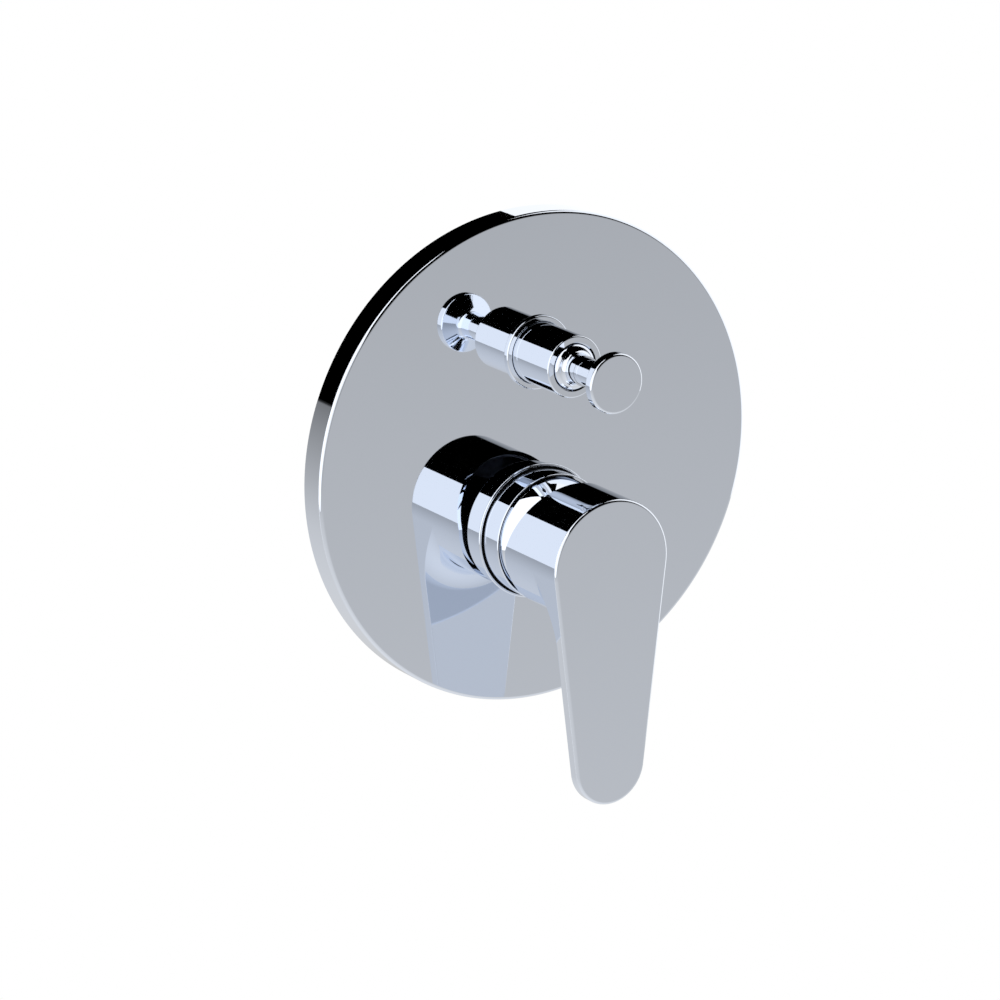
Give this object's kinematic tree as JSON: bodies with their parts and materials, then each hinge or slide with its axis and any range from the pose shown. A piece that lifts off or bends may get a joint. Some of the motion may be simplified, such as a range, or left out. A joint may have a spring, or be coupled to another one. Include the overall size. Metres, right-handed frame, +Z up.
{
  "type": "concealed shower mixer",
  "caption": "Concealed single-lever shower mixer with a round chromed cover plate, a tapered paddle lever, a pull diverter and an in-wall valve body.",
  "frame": {"origin": "centre of the cover plate on the finished wall's plane, where the gasket rests", "axes": "+Y into the wall, so the lever and knob face -Y; +Z up; +X to the right seen from the front"},
  "size_m": [0.17, 0.1046, 0.1951],
  "materials": {
    "chrome": "polished chrome plate",
    "brass": "as-cast and machined brass",
    "cast_zinc": "bare die-cast zinc",
    "screw_steel": "plain steel",
    "rubber": "matt black rubber",
    "gasket_foam": "closed-cell foam rubber",
    "acetal_white": "moulded acetal",
    "acetal_black": "moulded acetal",
    "cap_plastic": "plated plastic plug",
    "ceramic": "lapped alumina"
  },
  "bodies": {
    "body": {"valve_body": "brass", "cover_plate": "chrome", "plate_gasket": "gasket_foam", "cartridge_sleeve": "chrome", "cartridge_sleeve_seal": "rubber", "diverter_sleeve": "chrome", "diverter_sleeve_seal": "rubber", "diverter_bush": "chrome", "diverter_bonnet": "brass", "diverter_o_ring": "rubber", "cartridge_housing": "acetal_white", "cartridge_base": "acetal_white", "cartridge_nut": "brass", "cartridge_o_ring": "rubber", "fixed_disc": "ceramic", "hot_port_seal": "rubber", "cold_port_seal": "rubber", "mixed_port_seal": "rubber"},
    "rotor": {"cartridge_rotor": "acetal_white", "cartridge_pin": "screw_steel"},
    "lever": {"lever": "chrome", "lever_set_screw": "screw_steel", "set_screw_cap": "cap_plastic", "cartridge_spindle": "cast_zinc"},
    "disc": {"disc_carrier": "acetal_black", "moving_disc": "ceramic"},
    "diverter": {"diverter_knob": "chrome", "diverter_spindle": "brass", "diverter_front_washer": "rubber", "diverter_piston": "brass", "diverter_rear_washer": "rubber"}
  },
  "joints": [
    {"name": "lever_swivel", "type": "hinge", "parent": "body", "child": "rotor", "pos_m": [0, -0.01062, -0.0256], "axis": [0, -1, 0], "range_deg": [-45, 45]},
    {"name": "lever_tilt", "type": "hinge", "parent": "rotor", "child": "lever", "pos_m": [0, -0.01062, -0.0256], "axis": [-1, 0, 0], "range_deg": [0, 20]},
    {"name": "disc_slide", "type": "slide", "parent": "rotor", "child": "disc", "axis": [0, 0, -1], "range_m": [0, 0.005]},
    {"name": "diverter_pull", "type": "slide", "parent": "body", "child": "diverter", "axis": [0, -1, 0], "range_m": [0, 0.01]}
  ],
  "couplings": [
    {"joint": "disc_slide", "follows": "lever_tilt", "m_per_rad": 0.0138}
  ]
}
